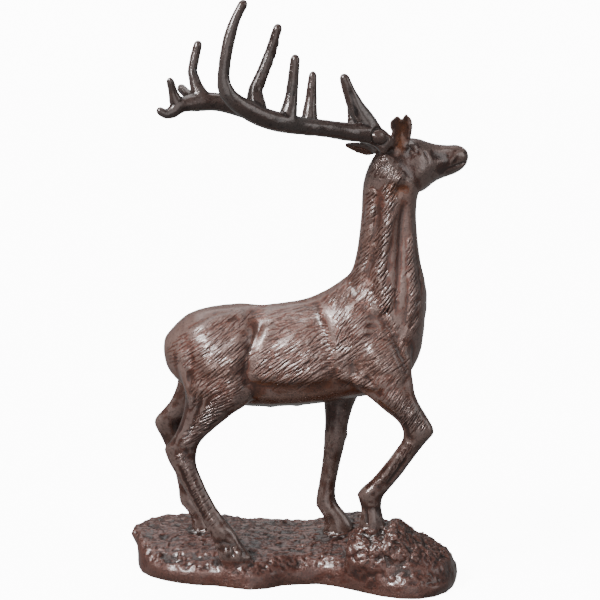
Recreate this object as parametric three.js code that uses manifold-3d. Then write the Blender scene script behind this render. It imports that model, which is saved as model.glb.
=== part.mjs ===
// A cast iron stag, standing on a piece of rocky ground with one fore hoof on a rock: one casting.
// Millimetres, +Z up. The stag faces +X, so its right side is -Y and its left side is +Y.

import * as THREE from 'three';
import { mergeVertices } from 'three/addons/utils/BufferGeometryUtils.js';
import Module from 'manifold-3d';

const wasm = await Module();
wasm.setup();

// Driving dimensions.
const BARREL = 42; // half width of the body
const NECK = 23; // half width of the neck at its middle
const LEG_SPREAD = 31; // from the middle of the body to the middle of a leg
const HEAD_TURN = THREE.MathUtils.degToRad(29); // the head looks to the stag's left
const POLL_X = 85; // the upright line that the head turns about
const BASE_EDGE = 27; // height of the base a little in from its rim
const FRONT_ROLL = 10; // how much lower the front rim is
const LOBE_UNDERCUT = 12; // how far the back left lobe overhangs its foot
const BEAM = 8.8; // radius of an antler's main beam
const TINE_TIP = 4.7; // radius of a tine near its end

const RIGHT = -1;
const LEFT = 1;

// ---------------------------------------------------------------- shaping tools

// Rows of numbers, with `steps` rows for each one given, along a Catmull-Rom curve through them.
function smoothed(rows, steps) {
  const out = [];
  for (let i = 0; i < rows.length - 1; i++) {
    const before = rows[Math.max(i - 1, 0)];
    const start = rows[i];
    const end = rows[i + 1];
    const after = rows[Math.min(i + 2, rows.length - 1)];
    for (let step = 0; step < steps; step++) {
      const t = step / steps;
      out.push(start.map((value, k) => catmullRom(t, before[k], value, end[k], after[k])));
    }
  }
  out.push(rows[rows.length - 1]);
  return out;
}

function catmullRom(t, before, start, end, after) {
  const pullIn = (end - before) / 2;
  const pullOut = (after - start) / 2;
  const cubic = 2 * start - 2 * end + pullIn + pullOut;
  const square = -3 * start + 3 * end - 2 * pullIn - pullOut;
  return cubic * t ** 3 + square * t ** 2 + pullIn * t + start;
}

// A closed skin over a row of rings with equal numbers of points, with a flat end or a point at each end.
function skin(rings) {
  const sides = rings[0].length;
  const points = rings.flat();
  const index = [];
  for (let r = 0; r < rings.length - 1; r++) {
    for (let i = 0; i < sides; i++) {
      const a = r * sides + i;
      const b = r * sides + ((i + 1) % sides);
      index.push(a, b, b + sides, a, b + sides, a + sides);
    }
  }
  for (const [ring, first, turn] of [[rings[0], 0, 1], [rings.at(-1), points.length - sides, -1]]) {
    const middle = points.length;
    const sum = ring.reduce((total, point) => total.add(point), new THREE.Vector3());
    points.push(sum.divideScalar(sides));
    for (let i = 0; i < sides; i++) {
      const a = first + i;
      const b = first + ((i + 1) % sides);
      index.push(middle, turn > 0 ? b : a, turn > 0 ? a : b);
    }
  }
  const geometry = new THREE.BufferGeometry().setFromPoints(points);
  geometry.setIndex(index);
  return outward(geometry);
}

// The same skin with its faces pointing out.
function outward(geometry) {
  const position = geometry.getAttribute('position');
  const index = geometry.getIndex();
  const [a, b, c] = [new THREE.Vector3(), new THREE.Vector3(), new THREE.Vector3()];
  let volume = 0;
  for (let i = 0; i < index.count; i += 3) {
    a.fromBufferAttribute(position, index.getX(i));
    b.fromBufferAttribute(position, index.getX(i + 1));
    c.fromBufferAttribute(position, index.getX(i + 2));
    volume += a.dot(b.cross(c));
  }
  if (volume < 0) geometry.setIndex(Array.from(index.array).reverse());
  return geometry;
}

// An oval across two points of the side outline, (x1, z1) and (x2, z2), with its half width and the y of its
// middle. `low` moves its widest part toward the first point.
function oval([x1, z1, x2, z2, halfWidth, y, low], sides) {
  const ring = [];
  for (let i = 0; i < sides; i++) {
    const angle = (2 * Math.PI * i) / sides;
    const across = Math.sin(angle);
    const along = Math.cos(angle) - low * across ** 2;
    const x = THREE.MathUtils.lerp(x1, x2, (1 + along) / 2);
    const z = THREE.MathUtils.lerp(z1, z2, (1 + along) / 2);
    ring.push(new THREE.Vector3(x, y + halfWidth * across, z));
  }
  return ring;
}

// A hull over ovals: each rib is [x1, z1, x2, z2, half width, y, low], and y and low are 0 where not given.
function hull(ribs, sides, steps) {
  const full = ribs.map(([x1, z1, x2, z2, halfWidth, y = 0, low = 0]) => [x1, z1, x2, z2, halfWidth, y, low]);
  return skin(smoothed(full, steps).map((rib) => oval(rib, sides)));
}

// A round branch through [x, y, z, radius] points, with a blunt end.
function branch(stations, sides, steps) {
  const rows = smoothed(stations, steps);
  const places = rows.map(([x, y, z]) => new THREE.Vector3(x, y, z));
  const up = new THREE.Vector3(0, 0, 1);
  const tangentAt = (i) => {
    const next = places[Math.min(i + 1, places.length - 1)];
    return next.clone().sub(places[Math.max(i - 1, 0)]).normalize();
  };
  let normal = new THREE.Vector3().crossVectors(tangentAt(0), up).normalize();
  const ringAt = (place, tangent, radius) => {
    normal = normal.clone().addScaledVector(tangent, -normal.dot(tangent)).normalize();
    const side = new THREE.Vector3().crossVectors(tangent, normal);
    return Array.from({ length: sides }, (_, i) => {
      const angle = (2 * Math.PI * i) / sides;
      const point = place.clone().addScaledVector(normal, radius * Math.cos(angle));
      return point.addScaledVector(side, radius * Math.sin(angle));
    });
  };
  const rings = rows.map((row, i) => ringAt(places[i], tangentAt(i), row[3]));
  const end = places.at(-1);
  const endTangent = tangentAt(places.length - 1);
  const endRadius = rows.at(-1)[3];
  rings.push(ringAt(end.clone().addScaledVector(endTangent, 0.6 * endRadius), endTangent, 0.7 * endRadius));
  rings.push(ringAt(end.clone().addScaledVector(endTangent, 0.85 * endRadius), endTangent, 0.3 * endRadius));
  return skin(rings);
}

function toSolid(geometry) {
  const bare = geometry.clone();
  bare.deleteAttribute('normal');
  bare.deleteAttribute('uv');
  const merged = mergeVertices(bare, 1e-4);
  const mesh = new wasm.Mesh({
    numProp: 3,
    vertProperties: new Float32Array(merged.getAttribute('position').array),
    triVerts: new Uint32Array(merged.getIndex().array),
  });
  return new wasm.Manifold(mesh);
}

function toGeometry(solid) {
  const mesh = solid.getMesh();
  const geometry = new THREE.BufferGeometry();
  geometry.setAttribute('position', new THREE.BufferAttribute(mesh.vertProperties, 3));
  geometry.setIndex(new THREE.BufferAttribute(mesh.triVerts, 1));
  return geometry;
}

const joined = (geometries) => geometries.map(toSolid).reduce((whole, solid) => whole.add(solid));

// ---------------------------------------------------------------- body and neck

// Ribs of the trunk from the tail to the breast, from the belly up to the back.
function trunk() {
  return hull([
    [-136, 229, -137, 235, 4],
    [-134, 217, -137, 246, 14],
    [-124, 204, -130, 256, 25],
    [-108, 194, -114, 271, 35],
    [-82, 184, -91, 279, BARREL - 1],
    [-55, 178, -60, 283, BARREL],
    [-36, 178, -38, 282, BARREL - 2, 0, 0.1],
    [-14, 179, -14, 285, BARREL - 1, 0, 0.15],
    [8, 181, 6, 289, BARREL, 0, 0.15],
    [30, 184, 28, 299, BARREL, 0, 0.15],
    [54, 189, 46, 312, BARREL - 1, 0, 0.15],
    [78, 193, 66, 326, BARREL - 4, 0, 0.15],
    [101, 204, 93, 334, 34, 0, 0.1],
    [114, 220, 112, 330, 27],
    [122, 240, 123, 316, 18],
    [125, 268, 126, 292, 6],
  ], 22, 2);
}

// The short tail hangs close against the rump.
function tail() {
  return branch([
    [-118, 0, 258, 7],
    [-127, 0, 248, 7.5],
    [-130, 0, 234, 7.5],
    [-128, 0, 221, 5],
  ], 8, 1);
}

// Ribs of the neck from the withers up to the skull, from the crest to the throat.
function neck() {
  return hull([
    [22, 286, 108, 236, 26],
    [38, 303, 124, 262, 35],
    [50, 316, 127, 296, 32],
    [55.5, 333, 121, 324, 27],
    [59, 356, 117, 350, NECK + 1],
    [61, 380, 115.5, 376, NECK - 1],
    [62, 403, 117, 393, NECK - 2],
    [68, 424, 119, 402, NECK - 2],
    [80, 441, 112, 412, NECK - 6],
  ], 18, 2);
}

// ---------------------------------------------------------------- legs

// Each leg's ribs run down from inside the body to the hoof, from the leg's back edge to its front edge, and
// are given with the distance of their middle from the middle of the body.

function hindLegRight() {
  return leg(RIGHT, [
    [-118, 254, -66, 262, 12, LEG_SPREAD - 15],
    [-124, 236, -52, 240, 17, LEG_SPREAD - 7],
    [-119, 214, -42, 212, 17, LEG_SPREAD - 3],
    [-113, 198, -44, 191, 16, LEG_SPREAD - 1],
    [-114, 180, -62, 178, 13.5, LEG_SPREAD],
    [-119, 162, -84, 160, 11, LEG_SPREAD + 1],
    [-127, 148, -97, 147, 9.5, LEG_SPREAD + 2],
    [-133, 139, -101, 135, 9, LEG_SPREAD + 2],
    [-129, 126, -101, 124, 8.5, LEG_SPREAD + 3],
    [-121, 112, -96, 110, 7.5, LEG_SPREAD + 3],
    [-110, 92, -87, 90, 7, LEG_SPREAD + 3],
    [-99, 72, -76, 72, 7, LEG_SPREAD + 3],
    [-91, 58, -65, 59, 8.5, LEG_SPREAD + 3],
    [-84, 43, -57, 46, 9, LEG_SPREAD + 3],
    [-80, 30, -46, 31, 10.5, LEG_SPREAD + 3],
    [-79, 20, -44, 20, 10, LEG_SPREAD + 3],
  ]);
}

function hindLegLeft() {
  return leg(LEFT, [
    [-116, 250, -70, 258, 12, LEG_SPREAD - 15],
    [-127, 232, -60, 236, 16, LEG_SPREAD - 7],
    [-128, 210, -60, 206, 17, LEG_SPREAD - 2],
    [-130, 192, -76, 186, 14.5, LEG_SPREAD],
    [-138, 173, -98, 169, 11.5, LEG_SPREAD + 1],
    [-151, 158, -121, 155, 9.5, LEG_SPREAD + 2],
    [-154, 149, -127, 145, 9, LEG_SPREAD + 2],
    [-149, 138, -124, 135, 8.5, LEG_SPREAD + 3],
    [-143, 125, -121, 122, 7.5, LEG_SPREAD + 3],
    [-134, 100, -116, 99, 7, LEG_SPREAD + 3],
    [-130, 80, -111, 80, 7, LEG_SPREAD + 3],
    [-128, 65, -106, 67, 8.5, LEG_SPREAD + 3],
    [-118, 52, -97, 56, 8.5, LEG_SPREAD + 4],
    [-117, 38, -86, 40, 10, LEG_SPREAD + 4],
    [-117, 24, -83, 24, 10.5, LEG_SPREAD + 4],
  ]);
}

function foreLegRight() {
  return leg(RIGHT, [
    [44, 268, 86, 288, 8, LEG_SPREAD - 13],
    [42, 248, 100, 264, 14, LEG_SPREAD - 7],
    [47, 224, 114, 240, 16, LEG_SPREAD - 3],
    [58, 205, 115, 220, 15.5, LEG_SPREAD - 1],
    [72, 195, 117, 200, 14, LEG_SPREAD],
    [85, 184, 125, 184, 12, LEG_SPREAD],
    [98, 174, 133, 171, 10.5, LEG_SPREAD],
    [104, 165, 136, 161, 10, LEG_SPREAD],
    [105, 155, 129, 152, 9.5, LEG_SPREAD],
    [98, 143, 119, 139, 8, LEG_SPREAD],
    [84, 124, 106, 120, 7.5, LEG_SPREAD],
    [72, 110, 95, 106, 8, LEG_SPREAD],
    [60, 98, 86, 94, 9, LEG_SPREAD],
    [62, 86, 85, 84, 8.5, LEG_SPREAD],
    [64, 76, 87, 72, 9, LEG_SPREAD],
    [61, 62, 90, 61, 10.5, LEG_SPREAD],
    [60, 52, 90, 52, 10, LEG_SPREAD],
  ]);
}

function foreLegLeft() {
  return leg(LEFT, [
    [40, 264, 80, 284, 8, LEG_SPREAD - 13],
    [32, 244, 86, 258, 14, LEG_SPREAD - 7],
    [23, 216, 76, 226, 16, LEG_SPREAD - 3],
    [20, 194, 63, 196, 15, LEG_SPREAD - 2],
    [22, 174, 53, 174, 12, LEG_SPREAD - 1],
    [23, 154, 47, 153, 11, LEG_SPREAD - 1],
    [22, 140, 45, 138, 10.5, LEG_SPREAD - 1],
    [21, 121, 41, 121, 8.5, LEG_SPREAD - 1],
    [18, 98, 36, 98, 7.5, LEG_SPREAD - 1],
    [15, 80, 34, 82, 8, LEG_SPREAD - 1],
    [14, 67, 36, 70, 9, LEG_SPREAD - 1],
    [22, 54, 44, 60, 9, LEG_SPREAD - 1],
    [22, 44, 52, 48, 10.5, LEG_SPREAD - 1],
    [20, 32, 55, 36, 11, LEG_SPREAD - 1],
    [20, 22, 54, 22, 10, LEG_SPREAD - 1],
  ]);
}

function leg(side, ribs) {
  const placed = ribs.map(([x1, z1, x2, z2, halfWidth, out]) => [x1, z1, x2, z2, halfWidth, side * out]);
  return hull(placed, 12, 2);
}

// ---------------------------------------------------------------- head and ears

// The head is shaped looking straight ahead, with x measured from the line that it turns about.
function inHead(geometry) {
  return geometry.rotateZ(HEAD_TURN).translate(POLL_X, 0, 0);
}

// Ribs of the head from the back of the skull to the nose, from the jaw up to the forehead.
function head() {
  return inHead(hull([
    [-2, 410, -15, 428, 9],
    [14, 397, -5, 441, 18],
    [33, 393.5, 14, 448, 20.5, 0, 0.1],
    [44, 398.5, 29, 449, 19, 0, 0.1],
    [52, 403.5, 42, 446, 15.5, 0, 0.1],
    [63, 407.5, 55, 442, 12.5],
    [74, 410.5, 68, 440.5, 11.5],
    [82, 414.5, 80, 440, 11.5],
    [87, 419, 86, 437, 9],
    [90, 424, 90, 433, 4],
  ], 16, 2));
}

// An ear is a leaf with a hollow front, from `root` to `tip`. `face` is the way that the hollow looks.
function ear(root, tip, face, halfWidth) {
  const length = tip.clone().sub(root);
  const front = face.clone().addScaledVector(length, -face.dot(length) / length.lengthSq()).normalize();
  const side = new THREE.Vector3().crossVectors(length, front).normalize();
  const arc = 7;
  const widths = [0.5, 0.82, 1, 1, 0.9, 0.68, 0.3];
  const rings = widths.map((share, k) => {
    const middle = root.clone().addScaledVector(length, k / (widths.length - 1));
    const width = halfWidth * share;
    const ring = [];
    for (let i = 0; i < arc; i++) {
      const angle = (Math.PI * i) / (arc - 1);
      const back = middle.clone().addScaledVector(side, width * Math.cos(angle));
      ring.push(back.addScaledVector(front, -0.8 * width * Math.sin(angle)));
    }
    const hollow = k === 0 ? -0.3 : 0.3;
    for (let i = arc - 2; i > 0; i--) {
      const angle = (Math.PI * i) / (arc - 1);
      const inner = middle.clone().addScaledVector(side, 0.72 * width * Math.cos(angle));
      ring.push(inner.addScaledVector(front, -hollow * width * Math.sin(angle)));
    }
    return ring;
  });
  return skin(rings);
}

function earRight() {
  const root = new THREE.Vector3(9, -14, 436);
  const tip = new THREE.Vector3(7, -20, 475);
  return inHead(ear(root, tip, new THREE.Vector3(-0.25, -1, 0), 10));
}

function earLeft() {
  const root = new THREE.Vector3(2, 13, 432);
  const tip = new THREE.Vector3(-26, 40, 440);
  return inHead(ear(root, tip, new THREE.Vector3(-0.3, -1, -0.9), 8));
}

// ---------------------------------------------------------------- antlers

// The right antler sweeps back and out over the body, and its end turns up.
function antlerRight() {
  return [
    branch([
      [88, -10, 440, BEAM + 1],
      [80, -12, 450, BEAM + 1],
      [66, -21, 456, BEAM + 1],
      [50, -32, 458, BEAM],
      [29, -52, 463, BEAM - 0.5],
      [8, -70, 467, BEAM],
      [-11, -87, 472, BEAM + 1],
      [-27, -100, 478, BEAM + 1],
      [-42, -111, 487, BEAM + 0.5],
      [-53, -118, 496, BEAM - 1],
      [-60, -121, 509, BEAM - 2.5],
      [-59, -121, 530, BEAM - 3],
      [-55, -118, 552, BEAM - 3],
      [-49, -114, 571, TINE_TIP],
      [-43, -110, 583, TINE_TIP],
    ], 8, 2),
    tine([[77, -13, 451, 9], [67, -16, 465, 10.5], [58, -18, 478, 9.5], [51, -21, 493, 7], [45, -24, 510, 5]]),
    tine([[-6, -83, 471, 8], [-3, -80, 484, 7.6], [-1, -78, 498, 6], [2, -75, 531, TINE_TIP]]),
    tine([
      [-30, -99, 480, 9],
      [-34, -94, 493, 9],
      [-34, -90, 503, 7.2],
      [-28, -86, 517, 6.2],
      [-22, -82, 534, 5.6],
      [-14, -79, 560, TINE_TIP - 0.3],
    ]),
  ];
}

// The left antler lies further back and nearer the middle, and its end is forked.
function antlerLeft() {
  return [
    branch([
      [84, 10, 438, BEAM + 1],
      [74, 10, 448, BEAM + 1],
      [54, 12, 454, BEAM],
      [29, 13, 457, BEAM],
      [-1, 9, 461, BEAM],
      [-30, 2, 468, BEAM],
      [-54, -6, 477, BEAM],
      [-70, -12, 483, BEAM + 0.5],
      [-85, -18, 486, BEAM + 0.5],
      [-100, -24, 485, BEAM],
      [-113, -30, 483, BEAM - 1.5],
      [-121, -34, 477, BEAM - 2.5],
      [-128, -37, 475, TINE_TIP],
      [-133, -38, 478, TINE_TIP - 0.5],
    ], 8, 2),
    tine([[54, 12, 452, 9], [52, 22, 464, 7], [50, 27, 480, 5.5], [44, 30, 500, TINE_TIP]]),
    tine([[8, 12, 462, 8], [9, 16, 481, 6.6], [10, 18, 495, 5.4], [11, 20, 510, TINE_TIP - 0.5]]),
    tine([[-92, -22, 484, 9], [-100, -19, 501, 6.6], [-104, -16, 515, 5], [-102, -13, 529, 5], [-99, -11, 541, 4.4]]),
    tine([[-117, -30, 482, 6.5], [-120, -33, 493, 5], [-123, -37, 507, TINE_TIP - 1]]),
    tine([[-100, -22, 484, 6], [-107, -18, 491, 5], [-116, -10, 498, TINE_TIP]]),
  ];
}

function tine(stations) {
  return branch(stations, 8, 1);
}

// ---------------------------------------------------------------- ground

// Height of the ground: it rises from the rim toward the back, under the left fore hoof and to the rock.
function groundHeight(x, y) {
  const foot = 20 * Math.exp(-(((x - 104) / 36) ** 2) - ((y + 16) / 30) ** 2);
  const back = 10.5 * THREE.MathUtils.smoothstep(y, -40, 50) * (1 - THREE.MathUtils.smoothstep(x, 70, 130));
  const swell = 15 * Math.exp(-(((x - 56) / 34) ** 2) - ((y - 58) / 32) ** 2);
  const ripple = 0.8 * Math.sin(x / 9 + 1.5 * Math.sin(y / 14)) + 0.6 * Math.sin(y / 5 + x / 30);
  const dip = 5 * THREE.MathUtils.smoothstep(x, 120, 160);
  return BASE_EDGE + back + swell + foot - dip + ripple;
}

// A slab with a flat underside, an upright rim and an uneven top.
function ground() {
  const outline = new THREE.CatmullRomCurve3([
    [-171, 14], [-162, -8], [-149, -21], [-130, -32], [-107, -40], [-74, -43], [-56, -51], [-34, -49],
    [-17, -36], [2, -30], [24, -27], [54, -41], [84, -59], [104, -66], [127, -65], [149, -47], [160, -12],
    [158, 22], [140, 50], [106, 72], [60, 78], [8, 76], [-48, 78], [-90, 86], [-128, 94], [-162, 80], [-182, 44],
  ].map(([x, y]) => new THREE.Vector3(x, y, 0)), true);
  const rim = outline.getSpacedPoints(46).slice(0, -1);
  const middle = new THREE.Vector3(0, 12, 0);
  const ringAt = (share, height) => rim.map((point) => {
    const place = middle.clone().lerp(point, share);
    place.z = height(place.x, place.y);
    return place;
  });
  // Toward the front the top rolls over, so that the rim there is lower.
  const top = (share, depth = 0) => (x, y) => {
    const rollOver = THREE.MathUtils.smoothstep(share, 0.66, 1) * THREE.MathUtils.smoothstep(-y, -22, 22);
    return groundHeight(x, y) - FRONT_ROLL * rollOver - depth;
  };
  const undercutAt = (share, height) => ringAt(share, height).map((place) => {
    const lobe = THREE.MathUtils.smoothstep(-place.x, 130, 165) * THREE.MathUtils.smoothstep(place.y, 12, 36);
    return place.add(new THREE.Vector3(LOBE_UNDERCUT * lobe, 0, 0));
  });
  const rings = [
    undercutAt(0.99, () => 0),
    undercutAt(1, () => 5),
    undercutAt(0.995, () => 10),
    ringAt(1, top(1, 6)),
    ringAt(0.99, top(0.99, 2)),
    ...[0.965, 0.9, 0.82, 0.7, 0.5, 0.34, 0.16].map((share) => ringAt(share, top(share))),
  ];
  return skin(rings);
}

// The rock under the right fore hoof, which falls away along a ridge to the front of the base.
function rock() {
  return hull([
    [49, 12, 49, 36, 12, -30],
    [53, 12, 52, 55, 18, -30],
    [62, 12, 62, 62, 22, -30],
    [75, 12, 75, 62, 25, -29],
    [88, 12, 88, 66, 28, -27],
    [98, 12, 98, 71, 31, -24],
    [107, 12, 107, 64, 35, -20],
    [120, 12, 118, 54, 38, -16],
    [134, 12, 130, 46, 38, -12],
    [148, 12, 144, 38, 32, -10],
    [157, 12, 154, 30, 20, -8],
  ], 16, 1);
}

// ---------------------------------------------------------------- the casting

const casting = joined([
  trunk(), tail(), neck(), hindLegRight(), hindLegLeft(), foreLegRight(), foreLegLeft(),
  head(), earRight(), earLeft(), ...antlerRight(), ...antlerLeft(), ground(), rock(),
]);

const castIron = new THREE.MeshStandardMaterial({ color: 0x5c4038, roughness: 0.42, metalness: 0.75 });
const statue = new THREE.Mesh(toGeometry(casting), castIron);
statue.name = 'stag_statue';

// The origin is under the middle of the statue, on the surface that it stands on.
const group = new THREE.Group();
group.add(statue);
const box = new THREE.Box3().setFromObject(group);
const centre = box.getCenter(new THREE.Vector3());
statue.position.set(-centre.x, -centre.y, -box.min.z);

export default group;
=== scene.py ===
import math

import bpy
import numpy as np
from bpy.props import FloatProperty, IntProperty, PointerProperty, StringProperty
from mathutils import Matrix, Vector


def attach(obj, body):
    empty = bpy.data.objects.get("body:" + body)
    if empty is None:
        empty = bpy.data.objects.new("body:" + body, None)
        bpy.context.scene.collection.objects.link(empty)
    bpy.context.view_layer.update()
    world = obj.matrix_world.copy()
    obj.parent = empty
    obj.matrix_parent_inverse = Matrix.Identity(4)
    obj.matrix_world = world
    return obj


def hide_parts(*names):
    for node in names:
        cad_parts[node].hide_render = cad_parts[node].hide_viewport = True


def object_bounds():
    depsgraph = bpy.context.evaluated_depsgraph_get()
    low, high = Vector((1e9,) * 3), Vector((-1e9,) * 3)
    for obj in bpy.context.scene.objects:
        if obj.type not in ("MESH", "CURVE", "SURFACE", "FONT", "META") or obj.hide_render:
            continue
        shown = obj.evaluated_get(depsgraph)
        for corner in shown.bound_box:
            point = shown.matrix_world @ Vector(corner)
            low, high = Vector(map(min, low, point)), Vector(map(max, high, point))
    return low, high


bl_info = {
    "name": "Cast Iron Stag",
    "version": (1, 0, 0),
    "blender": (4, 5, 0),
    "location": "3D View > Sidebar > Stag",
    "description": "Carves and finishes a cast iron stag on its rocky ground, around its CAD solid",
    "category": "Object",
}

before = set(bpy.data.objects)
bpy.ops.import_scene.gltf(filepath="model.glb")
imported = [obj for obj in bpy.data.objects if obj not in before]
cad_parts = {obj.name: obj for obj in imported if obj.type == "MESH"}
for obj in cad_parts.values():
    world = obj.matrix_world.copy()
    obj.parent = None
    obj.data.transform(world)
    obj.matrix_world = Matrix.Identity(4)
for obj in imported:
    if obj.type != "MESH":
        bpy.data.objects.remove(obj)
CAD_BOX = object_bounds()
NODE = "stag_statue"
BODY = "root"

# The carving is laid out in millimetres in the stag's own space: x forward, y to its left, z up from the
# underside, with the spine over y = 0. ZERO is where that space starts, in the frame.
MM = 0.001
ZERO = np.array([7.74, 16.44, 0.0])

# The head is shaped straight ahead and then turned to the stag's left, about an upright line at POLL_X.
HEAD_TURN = math.radians(29)
POLL_X = 85.0

RIGHT = -1
LEFT = 1


# ------------------------------------------------------------------ sizes and colours that a user may change

class StagCarving(bpy.types.PropertyGroup):
    """Sizes of the carving."""

    grain: FloatProperty(
        name="Grain", description="Spacing of the carved surface's points", default=0.65 * MM, unit="LENGTH",
        min=0.4 * MM, max=4 * MM, precision=5)
    lock_width: FloatProperty(
        name="Hair lock width", description="Distance from one carved hair lock to the next",
        default=2.7 * MM, unit="LENGTH", precision=5)
    lock_depth: FloatProperty(
        name="Hair lock depth", description="Depth of the grooves between hair locks",
        default=0.8 * MM, unit="LENGTH", precision=5)
    ripple_depth: FloatProperty(
        name="Ground ripple depth", description="Height of the ripples in the ground",
        default=1.5 * MM, unit="LENGTH", precision=5)
    triangles: IntProperty(
        name="Triangles", description="Most triangles in one mesh", default=196000, min=2000, max=199000)


class StagFinish(bpy.types.PropertyGroup):
    """Colours of the iron and its patina, with its painted shade and highlight, as sRGB hex."""

    brown: StringProperty(name="Brown", description="Brown rust patina on the open surface", default="6b483d")
    red: StringProperty(name="Red", description="Redder patches of the patina", default="6d4033")
    earth: StringProperty(name="Earth", description="Rust on the ground", default="50291e")
    steel: StringProperty(name="Steel", description="Dark, bluer iron of the antlers", default="211b1b")
    # Also painted shade: the cuts, the pits of the ground and the burrs are darkened with it.
    dark: StringProperty(name="Dark", description="Dark wax and dirt in the hollows", default="1d1513")
    # Also painted warm shade under the belly and in the hollows of the ears and under the jaw.
    orange: StringProperty(name="Orange", description="Fresh rust in sheltered places", default="7a421f")
    # Partly wear, partly a painted highlight: raised edges are made lighter and greyer.
    wear_and_highlight: StringProperty(name="Worn", description="Rubbed, greyer iron on raised edges", default="8d7c76")
    floor: StringProperty(name="Floor", description="Colour of the floor", default="f4f4f4")


# ------------------------------------------------------------------ small tools

def linear(code):
    """An sRGB hex colour as linear red, green, blue and alpha."""
    channels = [int(code[i:i + 2], 16) / 255 for i in (0, 2, 4)]
    return tuple(c / 12.92 if c <= 0.04045 else ((c + 0.055) / 1.055) ** 2.4 for c in channels) + (1.0,)


def add_node(tree, kind, links=None, **settings):
    """Adds a node with its settings and its inputs. An input in `links` is a socket or a plain value."""
    node = tree.nodes.new(kind)
    for name, value in settings.items():
        setattr(node, name, value)
    for key, value in (links or {}).items():
        socket = node.inputs[key]
        if isinstance(value, bpy.types.NodeSocket):
            tree.links.new(value, socket)
        else:
            socket.default_value = value
    return node


def select_only(*objects):
    """Selects these objects and no others, and makes the first of them active."""
    bpy.ops.object.select_all(action="DESELECT")
    for thing in objects:
        thing.select_set(True)
    bpy.context.view_layer.objects.active = objects[0]


def apply_modifier(thing, kind, **settings):
    """Adds a modifier with its settings and applies it."""
    modifier = thing.modifiers.new(kind.lower(), kind)
    for name, value in settings.items():
        setattr(modifier, name, value)
    select_only(thing)
    bpy.ops.object.modifier_apply(modifier=modifier.name)


def chance(a, b, c, seed):
    """A fixed random number from 0 to 1 for each whole-number place (a, b, c). The large odd numbers only
    scramble the bits."""
    mask = 0xFFFFFFFF
    mixed = (a.astype(np.int64) * 374761393 + b.astype(np.int64) * 668265263
             + c.astype(np.int64) * 1442695041 + seed * 1274126177) & mask
    mixed = ((mixed ^ (mixed >> 13)) * 1274126177) & mask
    mixed = ((mixed ^ (mixed >> 16)) * 668265263) & mask
    return (mixed ^ (mixed >> 15)) / (mask + 1.0)


def noise(points, seed):
    """Smooth noise from -1 to 1 with a swell about one unit wide."""
    cell = np.floor(points).astype(np.int64)
    part = points - cell
    part = part * part * (3 - 2 * part)
    total = np.zeros(len(points))
    for corner in range(8):
        step = np.array([corner & 1, corner >> 1 & 1, corner >> 2 & 1])
        share = np.prod(np.where(step, part, 1 - part), axis=1)
        total += share * chance(cell[:, 0] + step[0], cell[:, 1] + step[1], cell[:, 2] + step[2], seed)
    return 2 * total - 1


def smooth_step(value, low, high):
    """Rises softly from 0 at low to 1 at high."""
    t = np.clip((value - low) / (high - low), 0, 1)
    return t * t * (3 - 2 * t)


def follow(line, points):
    """Follows a line of stations. Gives each point's distance from it, how far along it the nearest spot is
    (0 to 1) and, seen from the flank, how far the point is above or behind it (under 0 below or ahead)."""
    line = np.asarray(line, float)
    lengths = np.linalg.norm(np.diff(line, axis=0), axis=1)
    whole = max(lengths.sum(), 1e-9)
    away = np.linalg.norm(points - line[0], axis=1)
    along = np.zeros(len(points))
    side = np.zeros(len(points))
    passed = 0.0
    for start, end, length in zip(line[:-1], line[1:], lengths):
        step = (end - start) / length
        reach = np.clip((points - start) @ step, 0, length)
        gap = points - start - reach[:, None] * step
        far = np.linalg.norm(gap, axis=1)
        across = gap[:, -1] * step[0] - gap[:, 0] * step[-1]
        nearer = far <= away if passed == 0 else far < away
        away = np.where(nearer, far, away)
        along = np.where(nearer, (passed + reach) / whole, along)
        side = np.where(nearer, across, side)
        passed += length
    return away, along, side


def distance_to(line, points):
    """How far each point is from a line."""
    return follow(line, points)[0]


def closeness(line, radius, points):
    """1 on a line, falling softly to nearly nothing at twice the radius."""
    return np.exp(-(distance_to(line, points) / radius) ** 2)


def fade(along, line):
    """Full in the middle of a line, and nothing at its ends. A single spot doesn't fade."""
    if len(line) < 3:
        return 1.0
    return smooth_step(along, -0.04, 0.22) * (1 - smooth_step(along, 0.78, 1.04))


# How far one rub moves a point toward the middle of its neighbours, and how many radii off a line its band
# is cut short.
RUB = 0.6
BAND_REACH = 2.3


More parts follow.
